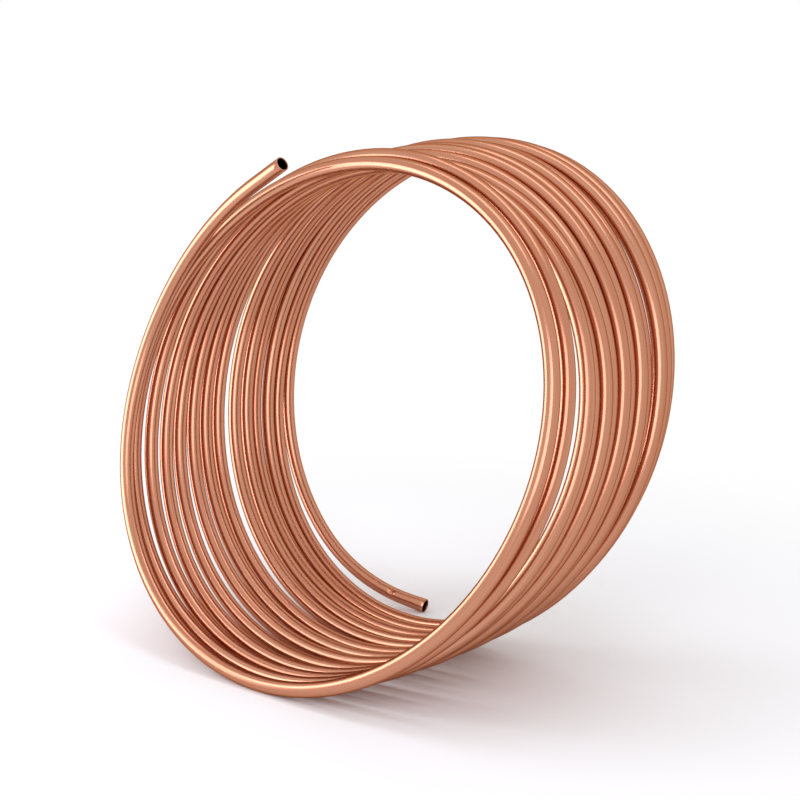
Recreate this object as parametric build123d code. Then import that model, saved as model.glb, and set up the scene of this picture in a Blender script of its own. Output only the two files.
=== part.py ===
from build123d import *
import os
from math import cos, radians, sin

# Drawn soft copper tube
tube_diameter = 10.0
tube_wall = 0.8

# Coil along the tube's centre line: axis along Y, first turn towards -Y,
# each turn running from its left down, across the bottom, up the right and over the top
coil_radius = 178.0
coil_depth = 148.0
whole_turns = 13
start_angle = 116.0
end_angle = 258.5
knots_per_turn = 12

# Turns lean with their tops towards +Y, and are a little out of round
near_lean = 16.9
far_lean = 11.2
near_flat_share = 0.006
near_skew_share = 0.011
middle_skew_share = -0.018
far_skew_share = 0.009
middle_shift = 1.4
far_shift = 2.8

# Loose ends, sprung away from the turns and straight at the last
near_splay = 17.5
near_splay_angle = 60.0
near_straight = 30.5
far_splay = 8.3
far_splay_angle = 30.0
far_straight = 17.5

# Left, bottom, right and top of each turn: place along the axis, in tube diameters
place_shares = (
    (-0.28, -0.37, 0.0, 0.37),
    (0.76, 0.7, 1.48, 1.7),
    (2.08, 1.76, 3.85, 3.5),
    (3.52, 2.82, 4.91, 4.81),
    (4.78, 4.06, 5.97, 5.95),
    (6.0, 5.55, 7.08, 7.3),
    (7.22, 6.75, 8.11, 8.45),
    (8.48, 7.87, 9.2, 9.77),
    (10.18, 9.35, 10.23, 10.91),
    (11.48, 10.56, 11.31, 12.2),
    (12.74, 11.65, 12.56, 13.38),
    (13.9, 12.75, 13.66, 14.63),
    (15.05, 13.9, 14.74, 15.83),
    (16.2, 16.25),
)

# The same places: how far the tube lies outside the coil radius, in tube diameters
out_shares = (
    (-0.3, 0.0, 0.0, -0.8),
    (0.2, 0.0, 0.15, -0.35),
    (0.0, 0.0, 0.15, -0.85),
    (0.0, 0.0, -0.15, -1.3),
    (0.0, 0.0, 0.15, -1.1),
    (0.0, 0.0, -0.15, -0.75),
    (0.0, 0.0, 0.15, -0.4),
    (0.0, 0.0, -0.15, -0.35),
    (0.0, 0.0, 0.15, -0.15),
    (0.0, 0.0, -0.2, -0.3),
    (0.3, 0.0, 0.2, -0.1),
    (0.0, 0.0, -0.1, -0.2),
    (0.0, 0.0, -0.5, -0.35),
    (0.0, 0.0),
)


def smooth_share(rows, angle):
    """Value at a winding angle, drawn smoothly through a table's four values a turn."""
    values = [value for row in rows for value in row]
    values = [values[0]] + values + [2 * values[-1] - values[-2]]
    quarter = angle / 90 - 2
    low = min(max(int(quarter), 0), len(values) - 4)
    u = min(max(quarter - low, 0), 1)
    before, first, last, after = values[low:low + 4]
    first_slope = (last - before) / 2
    last_slope = (after - first) / 2
    bend = 3 * (last - first) - 2 * first_slope - last_slope
    twist = first_slope + last_slope - 2 * (last - first)
    return first + u * (first_slope + u * (bend + u * twist))


def blend(near, middle, far, share):
    """Curve through three values, from the first turn to the last."""
    return (
        near * (1 - share) * (1 - 2 * share)
        + 4 * middle * share * (1 - share)
        + far * share * (2 * share - 1)
    )


def centre_point(angle):
    """Point of the tube's centre line at a winding angle: right 0, top 90, left 180, bottom 270."""
    turn = radians(angle)
    place = tube_diameter * smooth_share(place_shares, angle)
    share = min(max(place / coil_depth, 0), 1)
    lean = radians(near_lean + (far_lean - near_lean) * share)
    flat = near_flat_share * (1 - share)
    skew = blend(near_skew_share, middle_skew_share, far_skew_share, share)
    out = tube_diameter * smooth_share(out_shares, angle)
    radius = coil_radius * (1 + flat * cos(2 * turn) + skew * sin(2 * turn)) + out
    up = radius * sin(turn)
    height = coil_radius * (1 - flat) * cos(lean)
    near_share = max(start_angle + near_splay_angle - angle, 0) / near_splay_angle
    far_share = max(angle - last_angle + far_splay_angle, 0) / far_splay_angle
    splay = far_splay * far_share ** 2 - near_splay * near_share ** 2
    return Vector(
        blend(0, middle_shift, far_shift, share) + radius * cos(turn),
        place + splay + up * sin(lean),
        height + up * cos(lean),
    )


def centre_tangent(angle, reach=0.5):
    """Direction of the centre line at a winding angle."""
    return (centre_point(angle + reach) - centre_point(angle - reach)).normalized()


def biarc(p0, t0, p1, t1):
    """Two tangent arcs from p0 along t0 to p1 along t1."""
    v = p1 - p0
    a = 2 * (1 - t0.dot(t1))
    b = 2 * v.dot(t0 + t1)
    c = -v.dot(v)
    d = 2 * c / (-b - (b * b - 4 * a * c) ** 0.5)
    q0 = p0 + t0 * d
    q1 = p1 - t1 * d
    joint = (q0 + q1) / 2
    return [Edge.make_tangent_arc(p0, t0, joint), Edge.make_tangent_arc(joint, q1 - q0, p1)]


# Centre line of tangent arcs between knots, with a straight run at each end
last_angle = whole_turns * 360 + end_angle
knots = round((last_angle - start_angle) / 360 * knots_per_turn)
angles = [start_angle + (last_angle - start_angle) * k / knots for k in range(knots + 1)]
points = [centre_point(angle) for angle in angles]
tangents = [centre_tangent(angle) for angle in angles]
near_tip = points[0] - tangents[0] * near_straight
far_tip = points[-1] + tangents[-1] * far_straight
edges = [Edge.make_line(near_tip, points[0])]
for k in range(knots):
    edges += biarc(points[k], tangents[k], points[k + 1], tangents[k + 1])
edges.append(Edge.make_line(points[-1], far_tip))
path = Wire(edges)

# Tube drawn along the centre line
outer_radius = tube_diameter / 2
ring = Circle(outer_radius) - Circle(outer_radius - tube_wall)
tube = sweep(Plane(near_tip, z_dir=tangents[0]) * ring, path=path)

# Set down with the origin on the floor, under the middle of the coil
box = tube.bounding_box()
set_down = Vector(-box.center().X, -box.center().Y, -box.min.Z)
tube = Pos(set_down) * tube

os.makedirs("parts", exist_ok=True)
export_step(tube, "parts/copper_tube.step")

print("length", path.length, "volume", tube.volume, "section times length", ring.area * path.length)
print("valid", tube.is_valid, "solids", len(tube.solids()), "faces", len(tube.faces()))
print("size", box.size, "set down by", set_down)
print("near end", near_tip + set_down, "pointing", -tangents[0])
print("far end", far_tip + set_down, "pointing", tangents[-1])
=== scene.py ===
import bpy
from math import cos, exp, pi, radians, sin
from mathutils import Matrix, Vector


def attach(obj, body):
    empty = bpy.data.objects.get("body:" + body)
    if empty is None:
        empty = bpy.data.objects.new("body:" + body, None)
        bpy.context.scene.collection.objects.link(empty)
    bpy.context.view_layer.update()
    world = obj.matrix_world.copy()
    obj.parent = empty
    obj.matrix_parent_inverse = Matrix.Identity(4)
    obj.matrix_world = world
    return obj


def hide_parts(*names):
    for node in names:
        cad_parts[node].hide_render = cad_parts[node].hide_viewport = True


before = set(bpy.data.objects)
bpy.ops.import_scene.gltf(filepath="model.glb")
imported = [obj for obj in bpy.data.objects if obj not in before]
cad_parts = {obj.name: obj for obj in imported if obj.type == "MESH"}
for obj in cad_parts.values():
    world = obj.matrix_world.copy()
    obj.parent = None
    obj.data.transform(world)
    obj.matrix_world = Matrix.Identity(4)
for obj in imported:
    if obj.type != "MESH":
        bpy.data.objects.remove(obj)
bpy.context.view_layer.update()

MM = 0.001

# Tube and coil, the same named sizes as the part's source, in millimetres
tube_diameter = 10.0
tube_wall = 0.8
coil_radius = 178.0
coil_depth = 148.0
whole_turns = 13
start_angle = 116.0
end_angle = 258.5
near_lean = 16.9
far_lean = 11.2
near_flat_share = 0.006
near_skew_share = 0.011
middle_skew_share = -0.018
far_skew_share = 0.009
middle_shift = 1.4
far_shift = 2.8
near_splay = 17.5
near_splay_angle = 60.0
near_straight = 30.5
far_splay = 8.3
far_splay_angle = 30.0
far_straight = 17.5

# Left, bottom, right and top of each turn: place along the axis, in tube diameters
place_shares = (
    (-0.28, -0.37, 0.0, 0.37),
    (0.76, 0.7, 1.48, 1.7),
    (2.08, 1.76, 3.85, 3.5),
    (3.52, 2.82, 4.91, 4.81),
    (4.78, 4.06, 5.97, 5.95),
    (6.0, 5.55, 7.08, 7.3),
    (7.22, 6.75, 8.11, 8.45),
    (8.48, 7.87, 9.2, 9.77),
    (10.18, 9.35, 10.23, 10.91),
    (11.48, 10.56, 11.31, 12.2),
    (12.74, 11.65, 12.56, 13.38),
    (13.9, 12.75, 13.66, 14.63),
    (15.05, 13.9, 14.74, 15.83),
    (16.2, 16.25),
)

# The same places: how far the tube lies outside the coil radius, in tube diameters
out_shares = (
    (-0.3, 0.0, 0.0, -0.8),
    (0.2, 0.0, 0.15, -0.35),
    (0.0, 0.0, 0.15, -0.85),
    (0.0, 0.0, -0.15, -1.3),
    (0.0, 0.0, 0.15, -1.1),
    (0.0, 0.0, -0.15, -0.75),
    (0.0, 0.0, 0.15, -0.4),
    (0.0, 0.0, -0.15, -0.35),
    (0.0, 0.0, 0.15, -0.15),
    (0.0, 0.0, -0.2, -0.3),
    (0.3, 0.0, 0.2, -0.1),
    (0.0, 0.0, -0.1, -0.2),
    (0.0, 0.0, -0.5, -0.35),
    (0.0, 0.0),
)


def smooth_share(rows, angle):
    """Value at a winding angle, drawn smoothly through a table's four values a turn."""
    values = [value for row in rows for value in row]
    values = [values[0]] + values + [2 * values[-1] - values[-2]]
    quarter = angle / 90 - 2
    low = min(max(int(quarter), 0), len(values) - 4)
    u = min(max(quarter - low, 0), 1)
    before, first, last, after = values[low:low + 4]
    first_slope = (last - before) / 2
    last_slope = (after - first) / 2
    bend = 3 * (last - first) - 2 * first_slope - last_slope
    twist = first_slope + last_slope - 2 * (last - first)
    return first + u * (first_slope + u * (bend + u * twist))


def blend(near, middle, far, share):
    """Curve through three values, from the first turn to the last."""
    return (
        near * (1 - share) * (1 - 2 * share)
        + 4 * middle * share * (1 - share)
        + far * share * (2 * share - 1)
    )


last_angle = whole_turns * 360 + end_angle


def centre_point(angle):
    """Point of the tube's centre line at a winding angle: right 0, top 90, left 180, bottom 270."""
    turn = radians(angle)
    place = tube_diameter * smooth_share(place_shares, angle)
    share = min(max(place / coil_depth, 0), 1)
    lean = radians(near_lean + (far_lean - near_lean) * share)
    flat = near_flat_share * (1 - share)
    skew = blend(near_skew_share, middle_skew_share, far_skew_share, share)
    out = tube_diameter * smooth_share(out_shares, angle)
    radius = coil_radius * (1 + flat * cos(2 * turn) + skew * sin(2 * turn)) + out
    up = radius * sin(turn)
    height = coil_radius * (1 - flat) * cos(lean)
    near_share = max(start_angle + near_splay_angle - angle, 0) / near_splay_angle
    far_share = max(angle - last_angle + far_splay_angle, 0) / far_splay_angle
    splay = far_splay * far_share ** 2 - near_splay * near_share ** 2
    return Vector((
        blend(0, middle_shift, far_shift, share) + radius * cos(turn),
        place + splay + up * sin(lean),
        height + up * cos(lean),
    ))


# Centre line: straight run, winding, straight run, finer where the far end is dented
steps_per_turn = 144
fine_angle = 12.0
fine_steps = 30
straight_steps = 6
tangent_reach = 0.5
coarse_angle = last_angle - start_angle - fine_angle
steps = round(coarse_angle / 360 * steps_per_turn)
angles = [start_angle + coarse_angle * k / steps for k in range(steps)]
angles += [last_angle - fine_angle * (1 - k / fine_steps) for k in range(fine_steps + 1)]
winding = [centre_point(angle) for angle in angles]
near_way = (winding[0] - centre_point(start_angle + tangent_reach)).normalized()
far_way = (winding[-1] - centre_point(last_angle - tangent_reach)).normalized()
near_run = [
    winding[0] + near_way * (near_straight * (1 - k / straight_steps)) for k in range(straight_steps)
]
far_run = [
    winding[-1] + far_way * (far_straight * (k + 1) / straight_steps) for k in range(straight_steps)
]
centre_line = near_run + winding + far_run
along = [0.0]
for p, q in zip(centre_line, centre_line[1:]):
    along.append(along[-1] + (q - p).length)
tube_length = along[-1]

# Tube wall, its rounded rims, and how finely it is drawn
outer_radius = tube_diameter / 2
inner_radius = outer_radius - tube_wall
outer_sides = 32
inner_sides = 16
rim_round = 0.18
near_throat = 2.5
far_throat = 1.5

# A small dent and a slightly crushed and flared cut near the far end
dent_back = 29.5
dent_depth = 0.9
dent_length = 2.4
dent_width = 0.6
dent_side = Vector((0.3, -0.62, 0.72)).normalized()
crush_depth = 0.75
crush_length = 5.0
crush_side = Vector((0.55, -0.6, 0.58)).normalized()
flare_share = 0.14
flare_length = 9.0


def frames(line):
    """A tangent and two cross directions at each point, carried along without twist."""
    tangents = []
    for k in range(len(line)):
        a = line[max(k - 1, 0)]
        b = line[min(k + 1, len(line) - 1)]
        tangents.append((b - a).normalized())
    side = tangents[0].cross(Vector((0, 1, 0))).normalized()
    result = []
    for t in tangents:
        side = (side - t * side.dot(t)).normalized()
        result.append((t, side, t.cross(side)))
    return result


line_frames = frames(centre_line)
vertices = []
faces = []
drawn = []


def ring(index, radius, sides, back=0.0):
    """Adds a ring of vertices round a point of the centre line and returns their numbers."""
    first = len(vertices)
    t, u, v = line_frames[index]
    middle = centre_line[index] + t * (back if index == 0 else -back)
    from_far = tube_length - along[index] + back
    dent_here = dent_depth * exp(-((from_far - dent_back) / dent_length) ** 2)
    crush_here = crush_depth * exp(-(from_far / crush_length) ** 2)
    flare_here = radius * flare_share * exp(-(from_far / flare_length) ** 2)
    for k in range(sides):
        a = 2 * pi * k / sides
        way = u * cos(a) + v * sin(a)
        facing = max(way.dot(dent_side), 0.0)
        dent = dent_here * exp(-((1 - facing) / dent_width ** 2) ** 2)
        crush = crush_here * max(way.dot(crush_side), 0.0) ** 4
        flare = flare_here * max(way.z, 0.0) ** 2
        vertices.append(middle + way * (radius - dent - crush + flare))
        drawn.append((along[index] * MM, cos(a) * radius / outer_radius, sin(a) * radius / outer_radius))
    return list(range(first, first + sides))


def bridge(a, b):
    """Faces between two rings, the second with as many vertices or half as many."""
    n = len(a)
    if len(b) == n:
        for k in range(n):
            faces.append((a[k], a[(k + 1) % n], b[(k + 1) % n], b[k]))
        return
    for k in range(len(b)):
        a0, a1, a2 = a[2 * k], a[2 * k + 1], a[(2 * k + 2) % n]
        b0, b1 = b[k], b[(k + 1) % len(b)]
        faces.extend([(a0, a1, b0), (a1, b1, b0), (a1, a2, b1)])


# Outside wall, bore, and a rim with rounded edges at each end
last = len(centre_line) - 1
near_rim = [
    ring(0, inner_radius, outer_sides, back=near_throat),
    ring(0, inner_radius, outer_sides, back=rim_round),
    ring(0, inner_radius + rim_round, outer_sides),
    ring(0, outer_radius - rim_round, outer_sides),
    ring(0, outer_radius, outer_sides, back=rim_round),
]
far_rim = [
    ring(last, outer_radius, outer_sides, back=rim_round),
    ring(last, outer_radius - rim_round, outer_sides),
    ring(last, inner_radius + rim_round, outer_sides),
    ring(last, inner_radius, outer_sides, back=rim_round),
    ring(last, inner_radius, outer_sides, back=far_throat),
]
outside = near_rim + [ring(k, outer_radius, outer_sides) for k in range(1, last)] + far_rim
for a, b in zip(outside, outside[1:]):
    bridge(a, b)
bore = [ring(k, inner_radius, inner_sides) for k in range(last - 1, 0, -1)]
bridge(far_rim[-1], bore[0])
for a, b in zip(bore, bore[1:]):
    bridge(a, b)
first_face = len(faces)
bridge(near_rim[0], bore[-1])
faces[first_face:] = [tuple(reversed(f)) for f in faces[first_face:]]

mesh = bpy.data.meshes.new("copper_tube_bright")
mesh.from_pydata([v * MM for v in vertices], [], faces)
mesh.update()
drawn_at = mesh.attributes.new("drawn", "FLOAT_VECTOR", "POINT")
drawn_at.data.foreach_set("vector", [value for row in drawn for value in row])

# Set down as the part is: box centred over the origin, lowest point on the floor
low = [min(v.co[i] for v in mesh.vertices) for i in range(3)]
high = [max(v.co[i] for v in mesh.vertices) for i in range(3)]
mesh.transform(Matrix.Translation((-(low[0] + high[0]) / 2, -(low[1] + high[1]) / 2, -low[2])))
mesh.shade_smooth()
tube = bpy.data.objects.new("copper_tube_bright", mesh)
bpy.context.scene.collection.objects.link(tube)
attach(tube, "root")
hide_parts("copper_tube")


def add(tree, kind, **values):
    """Adds a shader node and sets its named properties and inputs."""
    node = tree.nodes.new(kind)
    for name, value in values.items():
        if name in node.inputs:
            node.inputs[name].default_value = value
        else:
            setattr(node, name, value)
    return node


def remap(tree, source, low_in, high_in, low_out, high_out, interpolation="LINEAR"):
    """Value moved from one range to another."""
    made = add(tree, "ShaderNodeMapRange", interpolation_type=interpolation)
    made.inputs["From Min"].default_value = low_in
    made.inputs["From Max"].default_value = high_in
    made.inputs["To Min"].default_value = low_out
    made.inputs["To Max"].default_value = high_out
    tree.links.new(source, made.inputs["Value"])
    return made.outputs["Result"]


def combine(tree, operation, first, second):
    """Sum, product or greater of two values."""
    made = add(tree, "ShaderNodeMath", operation=operation)
    tree.links.new(first, made.inputs[0])
    tree.links.new(second, made.inputs[1])
    return made.outputs[0]


def length(tree, source):
    """Length of a vector."""
    made = add(tree, "ShaderNodeVectorMath", operation="LENGTH")
    tree.links.new(source, made.inputs[0])
    return made.outputs["Value"]


def seen_directly(tree):
    """One for camera, glossy and transmission rays, zero for the rest."""
    path = add(tree, "ShaderNodeLightPath")
    seen = path.outputs["Is Camera Ray"]
    for name in ("Is Glossy Ray", "Is Transmission Ray"):
        seen = combine(tree, "MAXIMUM", seen, path.outputs[name])
    return seen


# Bright drawn copper: lengthwise drawing lines, rosy and tan tones, a few scuffs, and painted shade
# darkening the bore
copper_stops = (
    (0.34, (0.49, 0.19, 0.108)),
    (0.46, (0.54, 0.23, 0.138)),
    (0.54, (0.57, 0.26, 0.162)),
    (0.66, (0.60, 0.315, 0.188)),
)
edge_tint = (0.5, 0.3, 0.22, 1)
# Painted shade: the dark colour the bore is pulled towards, standing in for the shadow inside the tube
bore_painted_shade = (0.12, 0.08, 0.06, 1)
bore_shade_strength = 0.75
wall_share = 0.88
bore_share = 0.86
copper = bpy.data.materials.new("bright_copper")
copper.use_nodes = True
copper_tree = copper.node_tree
shader = copper_tree.nodes["Principled BSDF"]
shader.inputs["Metallic"].default_value = 1.0
shader.inputs["Specular Tint"].default_value = edge_tint
where = add(copper_tree, "ShaderNodeAttribute", attribute_name="drawn")


def noise(stretch, scale, detail, roughness):
    """Noise in the tube's own coordinates, stretched along it."""
    mapped = add(copper_tree, "ShaderNodeMapping", Scale=stretch)
    copper_tree.links.new(where.outputs["Vector"], mapped.inputs["Vector"])
    made = add(copper_tree, "ShaderNodeTexNoise", Scale=scale, Detail=detail, Roughness=roughness)
    copper_tree.links.new(mapped.outputs["Vector"], made.inputs["Vector"])
    return made.outputs["Fac"]


def ramp(source, stops):
    """Colour ramp from a value."""
    made = add(copper_tree, "ShaderNodeValToRGB")
    elements = made.color_ramp.elements
    while len(elements) < len(stops):
        elements.new(0.5)
    for element, (position, colour) in zip(elements, stops):
        element.position = position
        element.color = (*colour, 1)
    copper_tree.links.new(source, made.inputs["Fac"])
    return made.outputs["Color"]


lines = noise(stretch=(1.5, 7.0, 7.0), scale=1.0, detail=5.0, roughness=0.65)
tones = noise(stretch=(2.2, 0.9, 0.9), scale=1.3, detail=3.0, roughness=0.55)
marks = noise(stretch=(90.0, 6.0, 6.0), scale=1.0, detail=2.0, roughness=0.5)
mixed = add(copper_tree, "ShaderNodeMix", data_type="FLOAT", Factor=0.5)
copper_tree.links.new(lines, mixed.inputs[2])
copper_tree.links.new(tones, mixed.inputs[3])

# The share of the outside radius tells the bore from the wall; there the colour is darkened as painted
# shade
across = add(copper_tree, "ShaderNodeVectorMath", operation="MULTIPLY")
across.inputs[1].default_value = (0, 1, 1)
copper_tree.links.new(where.outputs["Vector"], across.inputs[0])
radius_share = length(copper_tree, across.outputs["Vector"])
bore_shade_mask = remap(copper_tree, radius_share, wall_share, bore_share, 0.0, bore_shade_strength)
# Painted shade: the copper colour is multiplied towards the dark bore colour inside the tube
bore_shaded_colour = add(copper_tree, "ShaderNodeMix", data_type="RGBA", blend_type="MULTIPLY")
copper_tree.links.new(bore_shade_mask, bore_shaded_colour.inputs["Factor"])
copper_tree.links.new(ramp(mixed.outputs[0], copper_stops), bore_shaded_colour.inputs[6])
bore_shaded_colour.inputs[7].default_value = bore_painted_shade
copper_tree.links.new(bore_shaded_colour.outputs[2], shader.inputs["Base Color"])

rough = remap(copper_tree, lines, low_in=0.3, high_in=0.7, low_out=0.15, high_out=0.3)
scuffs = remap(copper_tree, marks, low_in=0.68, high_in=0.75, low_out=0.0, high_out=0.2)
copper_tree.links.new(combine(copper_tree, "ADD", rough, scuffs), shader.inputs["Roughness"])
bump = add(copper_tree, "ShaderNodeBump", Strength=0.25, Distance=0.00004)
copper_tree.links.new(lines, bump.inputs["Height"])
copper_tree.links.new(bump.outputs["Normal"], shader.inputs["Normal"])
mesh.materials.append(copper)

# White floor that fades into the white surroundings away from the coil
floor_half = 6.0
floor_paint = (0.95, 0.95, 0.95, 1)
fade_from = 0.25
fade_to = 0.75
corners = [(-floor_half, -floor_half, 0), (floor_half, -floor_half, 0)]
corners += [(floor_half, floor_half, 0), (-floor_half, floor_half, 0)]
floor_mesh = bpy.data.meshes.new("floor")
floor_mesh.from_pydata(corners, [], [(0, 1, 2, 3)])
floor = bpy.data.objects.new("floor", floor_mesh)
bpy.context.scene.collection.objects.link(floor)
white = bpy.data.materials.new("white_floor")
white.use_nodes = True
floor_tree = white.node_tree
paint = floor_tree.nodes["Principled BSDF"]
paint.inputs["Base Color"].default_value = floor_paint
paint.inputs["Roughness"].default_value = 1.0
paint.inputs["Specular IOR Level"].default_value = 0.0
floor_spot = add(floor_tree, "ShaderNodeTexCoord")
away = length(floor_tree, floor_spot.outputs["Object"])
fade = remap(floor_tree, away, fade_from, fade_to, 0.0, 1.0, interpolation="SMOOTHSTEP")
glow = add(floor_tree, "ShaderNodeEmission", Color=(1, 1, 1, 1), Strength=1.0)
mix = add(floor_tree, "ShaderNodeMixShader")
floor_tree.links.new(combine(floor_tree, "MULTIPLY", fade, seen_directly(floor_tree)), mix.inputs["Fac"])
floor_tree.links.new(paint.outputs["BSDF"], mix.inputs[1])
floor_tree.links.new(glow.outputs["Emission"], mix.inputs[2])
floor_tree.links.new(mix.outputs["Shader"], floor_tree.nodes["Material Output"].inputs["Surface"])
floor_mesh.materials.append(white)

# White surroundings, a little dimmer as a light than as they are seen
light_level = 0.85
seen_level = 1.0
world = bpy.data.worlds.new("studio")
bpy.context.scene.world = world
world.use_nodes = True
world_tree = world.node_tree
sky = world_tree.nodes["Background"]
sky.inputs["Color"].default_value = (1, 1, 1, 1)
level = remap(world_tree, seen_directly(world_tree), 0.0, 1.0, light_level, seen_level)
world_tree.links.new(level, sky.inputs["Strength"])

# Soft boxes, a little cool
lamp_colour = (1.0, 1.0, 1.14)


def soft_box(name, spot, aim, size, strength):
    """Area lamp of a given surface brightness."""
    lamp = bpy.data.lights.new(name, "AREA")
    lamp.color = lamp_colour
    lamp.shape = "RECTANGLE"
    lamp.size, lamp.size_y = size
    lamp.energy = strength * pi * size[0] * size[1]
    box = bpy.data.objects.new(name, lamp)
    box.location = spot
    box.rotation_euler = (Vector(aim) - Vector(spot)).to_track_quat("-Z", "Y").to_euler()
    bpy.context.scene.collection.objects.link(box)


soft_box("left", spot=(-0.66, -0.455, 0.27), aim=(-0.22, 0.205, 0.27), size=(0.5, 0.5), strength=3.6)
soft_box("front", spot=(0.66, -0.97, 0.75), aim=(0.18, 0, 0.75), size=(0.7, 1.0), strength=2.2)
soft_box("top", spot=(0.0, 0.0, 1.6), aim=(0, 0, 0.18), size=(1.2, 0.3), strength=2.2)

# Camera at the photograph's viewing angle, its focal length in pixels of the picture's width
picture_width = 800
focal_pixels = 1330
sensor_width = 36
camera_spot = (0.58136, -0.70371, 0.31923)
right = Vector((0.7793, 0.6266, 0)).normalized()
back = Vector((0.6189, -0.7697, 0.1564)).normalized()
up = back.cross(right)
camera_data = bpy.data.cameras.new("camera")
camera_data.sensor_width = sensor_width
camera_data.lens = sensor_width * focal_pixels / picture_width
camera = bpy.data.objects.new("camera", camera_data)
bpy.context.scene.collection.objects.link(camera)
turned = Matrix((right, up, back)).transposed().to_4x4()
camera.matrix_world = Matrix.Translation(camera_spot) @ turned
bpy.context.scene.camera = camera

bpy.context.scene.view_settings.view_transform = "Standard"
